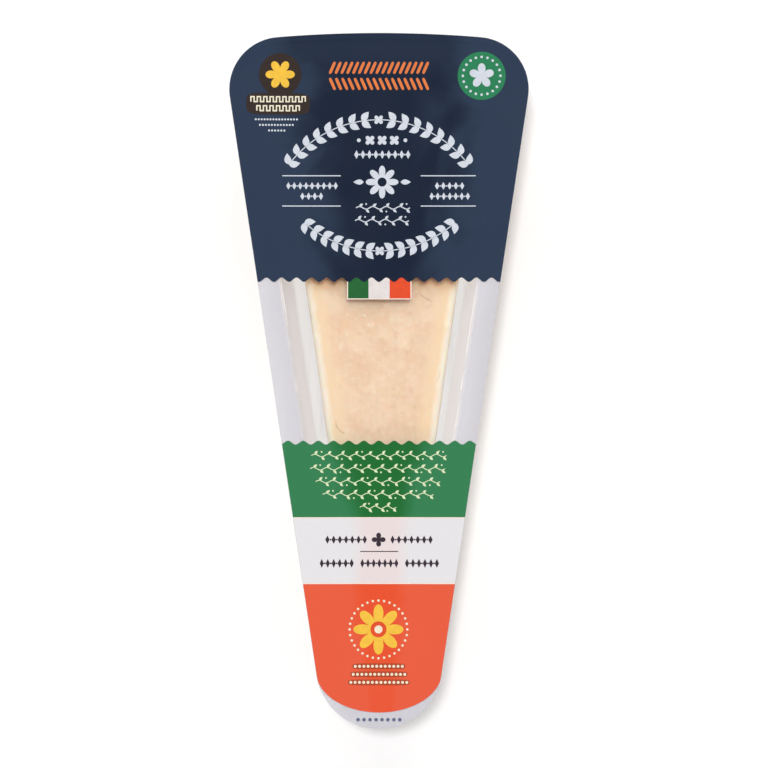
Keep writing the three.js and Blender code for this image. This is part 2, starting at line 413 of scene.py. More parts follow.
def clear_plastic(name, face_on, grazing, thin, edge_on, streak, sealed=None):
    """Clear plastic: see-through face on and hazier towards a grazing view, with a few faint drawn streaks.

    With a sealed colour it is hazier on the flange, where the film is welded on, and has a broken bright
    line along the rim, where the wall bends over to the flange: a painted highlight. Its upright walls are
    shaded as if they leaned back, and glow faintly: painted light that lightens the band between flange and
    cheese. The faint streaks are painted reflections.
    """
    f = Finish(name)
    facing = f.add("ShaderNodeLayerWeight", {"Blend": 0.3}).outputs["Facing"]
    # The streaks are painted reflections: faint lines of haze along the pack.
    streaks = f.noise(1.8, stretch=(1, 0.04, 1))
    haze = f.plus(f.span(facing, 0.0, 1.0, thin, edge_on), f.span(streaks, 0.5, 0.8, 0.0, streak))
    tint = f.mix(facing, face_on, grazing)
    normal = None
    if sealed:
        z = f.axes()["Z"]

        def below_top(band, to_low=0.0, to_high=1.0):
            return f.band(z, [TRAY_DEPTH - depth for depth in band], to_low, to_high)

        weld = below_top(WELD_BAND)
        haze = f.plus(haze, f.times(weld, WELD_HAZE))
        tint = f.mix(weld, tint, sealed)
        # A broken band just below the rim is a painted highlight: hazier, in a warm white.
        broken = f.span(f.noise(16, stretch=(0.3, 1, 0.3)), 0.46, 0.6)
        gleam = f.times(f.times(below_top(GLEAM_FOOT), below_top(GLEAM_HEAD, 1.0, 0.0)), broken)
        haze = f.plus(haze, f.times(gleam, RIM_GLEAM))
        tint = f.mix(gleam, tint, GLEAM_TINT)
        normal = f.add("ShaderNodeNewGeometry", {}).outputs["Normal"]
        normal = f.vector("NORMALIZE", f.vector("ADD", normal, (0, 0, WALL_LIFT))[0])[0]
        # The upright walls glow with painted light, which lightens them where the lamps leave them dark.
        upright = f.times(f.band(z, (1.5, 5)), f.math("SUBTRACT", 1.0, weld))
        glow = f.mix(upright, (0, 0, 0), WALL_GLOW_TINT)
        f.put(f.shader, {"Emission Color": glow, "Emission Strength": WALL_GLOW})
    waves = f.bump(f.noise(7), 0.06, normal)
    f.put(f.shader, {"Base Color": tint, "Alpha": haze, "Normal": waves, "Roughness": 0.14, "IOR": 1.5})
    return f.material


def printed(f, colour, roughness, grain=None):
    """Ink's shine on the slight ripple of the film, with the ink's own grain where it has one."""
    ripple = f.bump(f.noise(5.5, stretch=(1, 0.6, 1)), 0.04)
    normal = f.bump(grain, 0.004, ripple) if grain else ripple
    f.put(f.shader, {"Base Color": colour, "Roughness": roughness, "Normal": normal, "IOR": 1.48})
    f.put(f.shader, {"Specular IOR Level": INK_SHINE})
    return f.material


def ink(name, middle, sides):
    """Ink under the film: deeper where the cheese is behind it, and unevenly glossy.

    Its lighter side colour is partly painted sheen, the side lights caught on the film's sloping edges. Its
    share of the side colour grows with |x| / w, w being half the width of the cheese at that place, and past
    the ends of the cheese.
    """
    f = Finish(name)
    place = f.axes()
    x = f.apart(place["X"], CHEESE_X * MM)
    half = f.times(f.math("SUBTRACT", place["Y"], WHEEL_MIDDLE_Y * MM), SECTOR_HALF_SLOPE)
    wander = f.wander(24, -0.2, 0.2, detail=3, distortion=0.6)
    # Painted sheen: the ink lightens towards its sides and past the cheese's ends, as if catching the side
    # lights.
    beside = f.span(f.plus(f.math("DIVIDE", x, half), wander), 0.42, 0.98)
    along = f.apart(place["Y"], (RIND_CREST_Y + CHEESE_TIP_Y) / 2 * MM)
    share = f.math("MAXIMUM", beside, f.band(along, PAST_CHEESE, 0.0, PAST_CHEESE_SHARE))
    colour = f.mix(share, middle, sides)
    grain = f.noise(0.5, detail=1)
    colour = f.mix(f.span(grain, 0.3, 0.7, 0.0, 0.05), colour, tuple(0.8 * c for c in middle))
    rough = f.wander(12, INK_ROUGHNESS - 0.05, INK_ROUGHNESS + 0.06)
    return printed(f, colour, rough, grain)


def flat_ink(name, colour):
    """A small ornament's ink: nearly even, with the slight mottle of printed film."""
    f = Finish(name)
    mottle = f.wander(1.4, 0.0, 0.6, detail=3)
    return printed(f, f.mix(mottle, colour, tuple(0.86 * c for c in colour)), INK_ROUGHNESS)


def cheese_finish(colours):
    """The cut face: peach straw with paler lumps, white grains and hairline cracks, one of them an arc.

    It pales to yellow and then cream at the long edges, the cream strip being a painted highlight of the
    worn, translucent edges. It has painted shade, darker and warmer, where the printed film covers it. Its
    fine relief is creamier on the crests, partly grain and partly painted highlight, and deeper in the
    hollows and cracks, which is painted shade. It turns amber brown at the rind.
    """
    f = Finish("cut_cheese")
    edge = f.add("ShaderNodeAttribute", {}, attribute_name="edge").outputs["Fac"]
    rind = f.add("ShaderNodeAttribute", {}, attribute_name="rind").outputs["Fac"]
    lumps = f.noise(8, detail=4, roughness=0.55, distortion=0.4)
    body = f.mix(f.span(lumps, 0.36, 0.68), colours.cheese, colours.cheese_pale)
    fine = f.noise(1.7, detail=4, roughness=0.62)
    # Cream on the crests of the fine relief, which the bump below raises, is partly the cheese's grain and
    # partly painted highlight. The deep colour in its hollows is painted shade.
    body = f.mix(f.span(fine, 0.52, 0.75, 0.0, 0.45), body, colours.cheese_cream)
    body = f.mix(f.span(fine, 0.25, 0.45, 0.35, 0.0), body, colours.cheese_hollow_shade)
    ragged = f.plus(edge, f.wander(5, -0.35, 0.35, detail=3))
    body = f.mix(f.span(ragged, 3.0, 8.0, 0.9, 0.0), body, colours.cheese_yellow)
    # The cream strip at the very edge is a painted highlight: the light caught in the worn, translucent
    # edges.
    body = f.mix(f.span(ragged, 1.0, 3.0, 0.95, 0.0), body, colours.cheese_cream)

    grains = f.add("ShaderNodeTexVoronoi", {"Vector": f.place, "Scale": 1 / (3.4 * MM)})
    grain_size = f.span(f.noise(3.0, detail=0), 0.5, 0.78, 0.0, 0.16)
    grain = f.math("LESS_THAN", grains.outputs["Distance"], grain_size)
    body = f.mix(f.times(grain, 0.45), body, colours.cheese_cream)

    bent = f.add("ShaderNodeTexNoise", {"Vector": f.place, "Scale": 1 / (6 * MM), "Detail": 3.0})
    pushed = f.add("ShaderNodeVectorMath", {0: bent.outputs["Color"], "Scale": 6 * MM}, operation="SCALE")
    warped = f.vector("ADD", f.place, pushed.outputs[0])[0]
    sockets = {"Vector": warped, "Scale": 1 / (19 * MM)}
    to_seam = f.add("ShaderNodeTexVoronoi", sockets, feature="DISTANCE_TO_EDGE").outputs["Distance"]
    some = f.span(f.noise(11, detail=1), 0.6, 0.68)
    crack = f.times(f.span(to_seam, 0.002, 0.014, 1.0, 0.0), some)

    place = f.axes()
    flat = f.add("ShaderNodeCombineXYZ", {"X": place["X"], "Y": place["Y"]}).outputs[0]
    reach = f.vector("DISTANCE", flat, tuple(c * MM for c in (*ARC_MIDDLE, 0)))["Value"]
    radius = f.wander(2.2, *(r * MM for r in ARC_RADIUS))
    arc = f.band(f.apart(reach, radius), (0.08, 0.24), 1.0, 0.0)
    part = f.times(f.band(place["X"], ARC_FADE_X, 1.0, 0.0), f.band(place["Y"], ARC_FADE_Y, 1.0, 0.0))
    crack = f.math("MAXIMUM", crack, f.times(arc, part))
    # The cracks are darkened: painted shade in the grooves that the bump below cuts.
    body = f.mix(f.times(crack, 0.35), body, colours.cheese_hollow_shade)

    # Painted shade: the cut face is darkened and warmed from here up to the navy field's edge.
    shade = f.band(place["Y"], (PAINTED_SHADE_START_Y, NAVY_EDGE_Y + 0.4))
    body = f.mix(shade, body, colours.cheese_painted_shade, blend="MULTIPLY")
    near_rind = f.plus(rind, f.wander(4, -0.8, 0.8, detail=3))
    body = f.mix(f.span(near_rind, 3.5, 11.0, 0.55, 0.0), body, colours.cheese_yellow)
    body = f.mix(f.span(near_rind, 1.4, 5.0, 1.0, 0.0), body, colours.rind_inner)
    mottle = f.noise(3.6, detail=5, roughness=0.6, stretch=(1, 1, 0.7))
    shell = f.mix(f.span(mottle, 0.3, 0.75, 0.1, 0.7), colours.rind, colours.rind_inner)
    body = f.mix(f.span(near_rind, 0.2, 1.6, 1.0, 0.0), body, shell)

    coarse = f.bump(fine, 0.16)
    crumbly = f.bump(f.noise(0.6, detail=3, roughness=0.7), 0.07, coarse)
    split = f.bump(f.math("SUBTRACT", 1.0, crack), 0.2, crumbly)
    f.put(f.shader, {"Base Color": body, "Normal": split, "Roughness": 0.55, "Specular IOR Level": 0.35})
    f.put(f.shader, {"Subsurface Weight": 0.6, "Subsurface Radius": (1.0, 0.5, 0.28)})
    f.put(f.shader, {"Subsurface Scale": 7 * MM})
    return f.material


def superellipse(count, power):
    """Points once round the curve |x|^n + |y|^n = 1, evenly spread by walking a square's edge first."""
    t = np.arange(count) / count * 4
    leg, share = np.divmod(t, 1)
    side, one = 2 * share - 1, np.ones(count)
    legs = ((one, side), (-side, one), (-one, -side), (side, -one))
    square = np.select([leg[:, None] == k for k in range(4)], [np.stack(p, 1) for p in legs])
    return square / (np.abs(square) ** power).sum(1, keepdims=True) ** (1 / power)


def cheese_relief(points, upward, broken):
    """Relief of the cut faces: four sizes of smooth noise, and pits where one more is highest.

    The long swells are halved and the pits left out on the upright faces, whose edges are nearly straight.
    The broken tip adds two more sizes of noise.
    """
    fine = 0.07 * lattice_noise(points, 2.6, 13) + 0.04 * lattice_noise(points, 1.3, 14)
    swells = 0.20 * lattice_noise(points, 15, 11) + 0.12 * lattice_noise(points, 6, 12)
    pits = smoothstep((lattice_noise(points, 3.2, 15) - 0.55) / 0.3)
    crags = 0.7 * lattice_noise(points, 7, 16) + 0.4 * lattice_noise(points, 3, 17)
    return fine + swells * (0.5 + 0.5 * upward) - 0.3 * pits * upward + crags * broken


def chunk_surface():
    """The chunk as a function of two numbers: one round its section, one from its tip to its rind.

    A section is a superellipse, near to a rectangle with worn corners. Its half width follows the sector
    and its half height is constant. Both shrink to nothing over the two end faces. The rind end is set
    back by x2 / 2R, which is the wheel's curve.
    Returns the points, how far each is from the nearest edge, which is the middle one of its distances
    to the sides, the flat faces and the ends, and how deep it lies behind the rind.
    """
    around, along, cap, worn = 300, 250, 22, 7
    end_edge = 1.6
    quarter = np.linspace(0, math.pi / 2, worn)
    grow = np.linspace(0, 1, cap) ** 0.8
    half_height = CHEESE_THICKNESS / 2
    inset = np.concatenate([half_height * (1 - grow[:-1]) + end_edge, end_edge * (1 - np.sin(quarter))])
    setback = np.concatenate([np.zeros(cap - 1), end_edge * (1 - np.cos(quarter))])
    scale = 1 - np.clip(inset / (half_height + end_edge), 0, 1)
    scale[0] = 0
    body_y = np.linspace(CHEESE_TIP_Y + end_edge, RIND_CREST_Y - end_edge, along)[1:-1]
    y = np.concatenate([CHEESE_TIP_Y + setback, body_y, RIND_CREST_Y - setback[::-1]])
    shrink = np.concatenate([scale, np.ones(len(body_y)), scale[::-1]])

    loop = superellipse(around, 14)
    half_width = (y - WHEEL_MIDDLE_Y) * SECTOR_HALF_SLOPE
    z = half_height * (1 + shrink[:, None] * loop[:, 1])
    x = shrink[:, None] * loop[:, 0] * half_width[:, None]
    rows = np.broadcast_to(y[:, None], x.shape)
    share = smoothstep(rows / RIND_CREST_Y)
    points = np.stack([x, rows - x**2 / (2 * WHEEL_RADIUS) * share, z + CHEESE_BASE], -1)
    rind_depth = WHEEL_RADIUS - np.hypot(points[..., 0], points[..., 1] - WHEEL_MIDDLE_Y)

    step_along, step_around = np.gradient(points, axis=0), np.roll(points, -1, 1) - np.roll(points, 1, 1)
    normal = np.cross(step_around, step_along)
    normal /= np.maximum(np.linalg.norm(normal, axis=-1, keepdims=True), 1e-9)
    off_base = smoothstep((points[..., 2] - CHEESE_BASE) / 3)
    off_rind = 0.35 + 0.65 * smoothstep((rind_depth - 1) / 4)
    broken = smoothstep((CHEESE_TIP_Y + 3 - points[..., 1]) / 3)
    relief = cheese_relief(points, np.abs(normal[..., 2]), broken) * off_base * off_rind
    relief[[0, -1]] = relief[[0, -1]].mean(1, keepdims=True)
    moved = points + normal * relief[..., None]
    moved[..., 2] = np.maximum(moved[..., 2], CHEESE_BASE)
    moved[..., 0] += CHEESE_X

    to_side = half_width[:, None] - np.abs(points[..., 0])
    to_face = half_height - np.abs(z - half_height)
    to_end = np.minimum(points[..., 1] - CHEESE_TIP_Y, rind_depth)
    edge = np.sort(np.stack([to_side, to_face, to_end], -1), -1)[..., 1]
    return moved, edge, rind_depth


def field_grid(lower, upper, rows, crowd):
    """A field of the print, from one edge across the pack to another, out to the pack's own edge.

    Row by row it goes from the lower edge to the upper, each row as wide as the pack is where the row's
    ends lie. With crowd over 1 the rows gather towards the upper edge, as 1 - (1 - t)^crowd.
    """
    u = np.linspace(-1, 1, PRINT_COLUMNS)

    def end_height(edge):
        y = float(edge(np.array(0.0)))
        for _ in range(30):
            y = float(edge(OUTLINE.half_width(y) - PRINT_INSET))
        return y

    low_end, high_end = end_height(lower), end_height(upper)
    share = 1 - (1 - np.linspace(0, 1, rows)) ** crowd
    side_y = low_end + share * (high_end - low_end)
    half = np.maximum(OUTLINE.half_width(side_y) - PRINT_INSET, 0)
    x = half[:, None] * u
    low, high = lower(half[0] * u), upper(half[-1] * u)
    return x, low + share[:, None] * (high - low)


def draped(x, y, lift):
    """Points of a flat drawing laid on the film, lifted off it by a little."""
    return np.stack([x, y, film_height(x, y) + lift], -1)


class Drawing:
    """Flat shapes of one ink, gathered into one mesh that lies on the film."""

    def __init__(self, lift):
        self.lift, self.parts, self.faces, self.count = lift, [], [], 0

    def add(self, x, y, wrap=False):
        """Lay a grid of points on the film, in this ink's layer."""
        x, y = np.broadcast_arrays(x, y)
        rows, columns = x.shape
        self.parts.append(draped(x, y, self.lift * INK_LIFT).reshape(-1, 3))
        self.faces.append(grid_faces(rows, columns, wrap) + self.count)
        self.count += rows * columns

    def blob(self, at, radius, rings=3, turn=0.0, shape=None, count=48):
        """A shape filled out from its middle: a point at share s and angle a is s * radius * shape(a).

        The radius may be one number, or a pair for a wide or narrow shape.
        """
        wide, high = np.broadcast_to(radius, 2)
        a = np.arange(count) / count * 2 * math.pi
        reach = np.ones(count) if shape is None else shape(a)
        s = np.linspace(0, 1, rings + 1)[:, None]
        x, y = s * reach * wide * np.cos(a), s * reach * high * np.sin(a)
        cos, sin = math.cos(turn), math.sin(turn)
        self.add(at[0] + x * cos - y * sin, at[1] + x * sin + y * cos, wrap=True)

    def bar(self, at, half, turn=0.0, rings=1, count=20):
        """A bar with round corners, which is a superellipse of the fifth power."""

        def square(a):
            return (np.abs(np.cos(a)) ** 5 + np.abs(np.sin(a)) ** 5) ** -0.2

        self.blob(at, half, rings=rings, turn=turn, shape=square, count=count)

    def ribbon(self, path, half_width):
        """A strip along a path: each point goes to either side, along the mitre of its two stretches."""
        path = np.asarray(path, float)
        steps = np.diff(path, axis=0)
        steps /= np.maximum(np.linalg.norm(steps, axis=1, keepdims=True), 1e-9)
        before, after = np.concatenate([steps[:1], steps]), np.concatenate([steps, steps[-1:]])
        mitre = (before + after) / np.maximum(1 + (before * after).sum(1, keepdims=True), 0.3)
        side = np.stack([-mitre[:, 1], mitre[:, 0]], 1) * np.broadcast_to(half_width, len(path))[:, None]
        edges = np.stack([path - side, path, path + side])
        self.add(edges[..., 0], edges[..., 1])

    def line(self, start, end, half_width, points=24):
        """A straight strip."""
        self.ribbon(np.linspace(start, end, points), half_width)

    def leaf(self, at, length, half_width, turn, bend=0.0):
        """A leaf from its stalk to its point, bent to one side, and widest a little before the middle."""
        t = np.linspace(0, 1, 9)
        direction = np.array((math.cos(turn), math.sin(turn)))
        across = np.array((-direction[1], direction[0])) * bend * length
        path = np.array(at) + direction * (length * t)[:, None] + across * (t * t)[:, None]
        self.ribbon(path, half_width * np.sin(math.pi * t**0.8))

    def piece(self, name, material, slot):
        """Make one mesh of all the shapes, each face turned up."""
        points, faces = np.concatenate(self.parts), np.concatenate(self.faces)
        corner = points[faces]
        across, up = corner[:, 2] - corner[:, 0], corner[:, 3] - corner[:, 1]
        down = across[:, 0] * up[:, 1] - across[:, 1] * up[:, 0] < 0
        faces[down] = faces[down][:, ::-1]
        made = make_piece(name, points, faces, material)
        merge_doubles(made.data, 1e-6, outwards=False)
        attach(made, "root")

    def flat_piece(self, name, colour, slot):
        """Make the piece in an even ink of its own."""
        self.piece(name, flat_ink(f"{name}_ink", colour), slot)


def spot(name, lift, at, radius, colour, slot, rings=3, count=48):
    """A round piece of one even ink."""
    drawing = Drawing(lift)
    drawing.blob(at, radius, rings=rings, count=count)
    drawing.flat_piece(name, colour, slot)


def lozenge_row(drawing, y, left, right, height, pitch):
    """Lozenges with a dot between each two, from left to right. A lozenge is the curve |x| + |y| = 1."""

    def lozenge(a):
        return 1 / (np.abs(np.cos(a)) + np.abs(np.sin(a)))

    count = max(1, round((right - left) / pitch))
    step = (right - left) / count
    for k in range(count):
        x = left + (k + 0.5) * step
        drawing.blob((x, y), (0.35 * step, 0.54 * height), rings=2, shape=lozenge, count=16)
        if k:
            drawing.blob((x - step / 2, y), 0.11 * height, rings=1, count=10)


def dot_row(drawing, y, left, right, radius, pitch):
    """Round dots from left to right."""
    for x in np.linspace(left, right, max(2, round((right - left) / pitch) + 1)):
        drawing.blob((x, y), radius, rings=1, count=12)


def battlement_row(drawing, y, left, right, height, pitch, stroke):
    """A battlement line, up, along, down and along again, with square mitred corners."""
    count = round((right - left) / pitch)
    step = (right - left) / (4 * count - 2)
    corners = np.array([(0, -1), (0, 1), (2, 1), (2, -1)]) * (step, height / 2 - stroke)
    path = np.concatenate([corners + (left + 4 * step * k, y) for k in range(count)])
    drawing.ribbon(path, stroke)


def vine_row(drawing, y, left, right, height, seed, stroke=0.12):
    """A vine: a stem that waves as y = a sin(2 pi x / p), with a leaf at each crest and some berries.

    The lengths and turns of its leaves are drawn at random.
    """
    draw = np.random.default_rng(seed)
    waves = max(1, round((right - left) / (1.35 * height)))
    pitch, swing = (right - left) / waves, 0.13 * height
    x = np.linspace(0, right - left, 24 * waves)
    drawing.ribbon(np.stack([left + x, y + swing * np.sin(2 * math.pi * x / pitch)], 1), stroke)
    for k in range(2 * waves):
        side = -1 if k % 2 else 1
        crest = (left + (k + 0.5) * pitch / 2, y + side * swing)
        turn = side * draw.uniform(0.75, 1.05)
        drawing.leaf(crest, height * draw.uniform(0.44, 0.52), 0.13 * height, turn, bend=-0.15 * side)
        if k % 3 == 1:
            drawing.blob((crest[0], crest[1] - side * 0.5 * height), 0.09 * height, rings=1, count=10)


def garland(drawing, centre, radius, spread, pairs, height, upwards):
    """Leaf pairs along an arc, growing on a thin stem from both ends towards a bud at its middle."""
    sign = 1 if upwards else -1
    turn = np.linspace(-spread, spread, 60)
    arc = np.stack([centre[0] + radius * np.sin(turn), centre[1] + sign * radius * np.cos(turn)], 1)
    drawing.ribbon(arc, 0.14)
    for k in range(pairs):
        for side in (-1, 1):
            a = side * spread * (1 - 0.84 * k / (pairs - 1))
            at = (centre[0] + radius * math.sin(a), centre[1] + sign * radius * math.cos(a))
            forward = -sign * a + (math.pi if side > 0 else 0)
            for lean in (-1, 1):
                drawing.leaf(at, 0.56 * height, 0.17 * height, forward + lean * 0.95, bend=-0.16 * lean)
    bud = (centre[0], centre[1] + sign * radius)
    rosette(drawing, bud, 0.26 * height, 4, turn=math.pi / 4, waist=0.35)


def rosette(drawing, at, radius, petals, turn=0.0, waist=0.42, rings=3):
    """A flower seen face on: its edge swings in and out once for each petal."""

    def flower(a):
        return waist + (1 - waist) * np.abs(np.cos(petals * a / 2)) ** 0.8

    drawing.blob(at, radius, rings=rings, turn=turn, shape=flower, count=24 * petals)


def bead_ring(drawing, at, radius, beads, size):
    """Beads evenly round a circle."""
    for k in range(beads):
        a = 2 * math.pi * k / beads
        drawing.blob((at[0] + radius * math.cos(a), at[1] + radius * math.sin(a)), size, rings=1, count=10)


def colour(name, description, red, green, blue):
    """A colour property, from an sRGB colour in 255ths."""
    shade = linear(red, green, blue)
    return FloatVectorProperty(
        name=name, description=description, subtype="COLOR", size=3, min=0, max=1, default=shade
    )


def thickness(name, description, millimetres):
    """A property for a sheet's thickness."""
    return FloatProperty(
        name=name, description=description, default=millimetres * MM, min=0, unit="LENGTH", precision=5
    )


class PackSizes(bpy.types.PropertyGroup):
    film_thickness: thickness("Film", "Thickness of the clear film", 0.12)
    tray_wall: thickness("Tray wall", "Thickness of the tray's wall", 0.45)
    print_rows: IntProperty(name="Print rows", description="Rows in each field of colour", default=110, min=8)


class PackColours(bpy.types.PropertyGroup):
    cheese: colour("Cheese", "The cut face's main colour", 229, 198, 168)
    cheese_pale: colour("Pale cheese", "The cut face's paler lumps", 235, 210, 182)
    cheese_yellow: colour("Yellow cheese", "The cut face near its edges", 237, 211, 177)
    # The cream at the edges is a painted highlight. The white grains are the cheese's own colour.
    cheese_cream: colour("Cream cheese", "The edges, and the white grains", 243, 230, 212)
    # Painted shade for the hollows and cracks of the cut face.
    cheese_hollow_shade: colour("Deep cheese", "Pits and cracks in the cut face", 206, 165, 129)
    # Painted shade, multiplied into the cut face towards the navy field.
    cheese_painted_shade: colour("Covered cheese", "Tint of the cut face under the printed film", 255, 236, 215)
    rind: colour("Rind", "The rind's outside", 150, 98, 48)
    rind_inner: colour("Inner rind", "The rind where it meets the cheese", 205, 150, 92)
    haze: colour("Haze", "Clear plastic seen face on", 168, 163, 168)
    haze_edge: colour("Edge haze", "Clear plastic seen at a grazing angle", 228, 224, 227)
    weld: colour("Weld haze", "The flange, where the film is welded on", 220, 218, 226)
    # Each ink's side colour is lighter than its middle: partly painted sheen of the side lights on the film's
    # slopes.
    navy_middle: colour("Navy middle", "Navy ink over the cheese", 20, 31, 50)
    navy_sides: colour("Navy sides", "Navy ink beside the cheese", 41, 54, 75)
    green_middle: colour("Green middle", "Green ink over the cheese", 28, 101, 46)
    green_sides: colour("Green sides", "Green ink beside the cheese", 50, 120, 77)
    white_middle: colour("White middle", "White ink over the cheese", 220, 206, 206)
    white_sides: colour("White sides", "White ink beside the cheese", 216, 214, 216)
    orange_middle: colour("Orange middle", "Orange ink over the cheese", 219, 78, 44)
    orange_sides: colour("Orange sides", "Orange ink beside the cheese", 219, 88, 60)
    underprint: colour("Underprint", "Pale ink that shows between two fields", 238, 218, 206)
    pale: colour("Pale ornament", "Ornament on the navy field", 202, 207, 216)
    amber: colour("Amber ornament", "Ornament at the wide end", 218, 120, 66)
    disc_green: colour("Green disc", "The disc near the wide end's corner", 42, 122, 82)
    gold: colour("Gold ornament", "Gold ornament", 234, 186, 66)
    brown: colour("Brown plaque", "The small plaque and its disc", 52, 42, 38)
    leaf_green: colour("Pale green ornament", "Vines on the green field", 212, 224, 184)
    cream: colour("Cream ornament", "Ornament on the brown and orange fields", 232, 222, 198)
    rust: colour("Rust backing", "Bars behind the bead rows on the orange field", 168, 70, 40)
    dark: colour("Dark ornament", "Ornament on the white field", 56, 46, 56)
    slate: colour("Slate ornament", "Beads at the tip", 92, 100, 132)


class PARMESAN_OT_tray(bpy.types.Operator):
    """Make the clear thermoformed tray, from its flat base up its sloping wall to its flange"""

    bl_idname = "parmesan.tray"
    bl_label = "Tray"

    def execute(self, context):
        wall = context.scene.pack_sizes.tray_wall / MM
        slope = math.tan(WALL_DRAFT)
        under = TRAY_DEPTH - wall
        foot = -under * slope

        def curve(start, bend, end, steps):
            t = np.linspace(0, 1, steps)[:, None]
            start, bend, end = (np.array(p) for p in (start, bend, end))
            return (1 - t) ** 2 * start + 2 * t * (1 - t) * bend + t * t * end

        base = curve((foot - BASE_RADIUS, 0), (foot, 0), (foot + BASE_RADIUS * slope, BASE_RADIUS), 9)
        rim = curve((-RIM_RADIUS * slope, under - RIM_RADIUS), (0, under), (RIM_RADIUS, under), 7)
        rise = np.linspace(0, 1, 10)[1:-1, None]
        outside = np.concatenate([base, base[-1] + (rim[0] - base[-1]) * rise, rim])
        along = np.gradient(outside, axis=0)
        along /= np.linalg.norm(along, axis=1, keepdims=True)
        along[[0, -1]] = (1, 0)
        inside = outside + np.stack([-along[:, 1], along[:, 0]], 1) * wall

        def level(section):
            rings = []
            for outward, z in section:
                ring = cavity(-outward).ring()
                rings.append(np.column_stack([ring, np.full(len(ring), z)]))
            return rings

        def lip(depth, z):
            ring = Wedge(depth, depth, depth, CORNER_RADIUS - depth).ring()
            return np.column_stack([ring, np.full(len(ring), z)])

        worn = 0.15
        edge = [lip(worn, TRAY_DEPTH), lip(0, TRAY_DEPTH - wall / 3)]
        edge += [lip(0, under + wall / 3), lip(worn, under)]
        points, faces = ring_solid([*level(inside), *edge, *level(outside[::-1])])
        c = context.scene.pack_colours
        haze = {"thin": 0.03, "edge_on": 0.22, "streak": 0.04}
        clear = clear_plastic("clear_tray", c.haze, c.haze_edge, **haze, sealed=tuple(c.weld))
        tray = make_piece("tray_shell", points, faces, clear, tidy=True)
        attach(tray, "root")
        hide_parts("tray")
        return {"FINISHED"}


class PARMESAN_OT_cheese(bpy.types.Operator):
    """Make the chunk, with its relief, its worn edges and its rind"""

    bl_idname = "parmesan.cheese"
    bl_label = "Cheese"

    def execute(self, context):
        points, edge, rind = chunk_surface()
        faces = grid_faces(*points.shape[:2], wrap=True)
        finish = cheese_finish(context.scene.pack_colours)
        cheese = make_piece("cheese_surface", points, faces, finish)
        for name, values in (("edge", edge), ("rind", rind)):
            layer = cheese.data.attributes.new(name, "FLOAT", "POINT")
            layer.data.foreach_set("value", values.ravel())
        merge_doubles(cheese.data)
        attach(cheese, "root")
        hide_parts("cheese_chunk")
        return {"FINISHED"}


class PARMESAN_OT_film(bpy.types.Operator):
    """Make the clear film over the whole pack, sealed to the flange and dipping over the cavity"""

    bl_idname = "parmesan.film"
    bl_label = "Film"

    def execute(self, context):
        """Rings shrink to the pack's middle line: (s x, m + s (y - m)), m being y held back."""
        ring = OUTLINE.ring()
        middle = np.clip(ring[:, 1], *FILM_SPINE_Y)
        # The rings are closer together where the film bends into the cavity.
        s = np.concatenate([np.linspace(1, 0.62, 34), np.linspace(0.6, 0, 16)])[:, None]
        x, y = s * ring[:, 0], middle + s * (ring[:, 1] - middle)
        c = context.scene.pack_colours
        clear = clear_plastic("clear_film", c.haze, c.haze_edge, thin=0.02, edge_on=0.2, streak=0.012)
        faces = grid_faces(*x.shape, wrap=True)
        film = make_piece("film_sheet", draped(x, y, 0), faces, clear, tidy=True)
        if film.data.polygons[0].normal.z < 0:
            film.data.flip_normals()
        # A little thinner than its height above the flange, so that the two don't touch.
        sheet = film.modifiers.new("thickness", "SOLIDIFY")
        sheet.thickness = context.scene.pack_sizes.film_thickness * 0.8
        sheet.offset = -1
        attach(film, "root")
        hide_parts("lid_film")
        return {"FINISHED"}


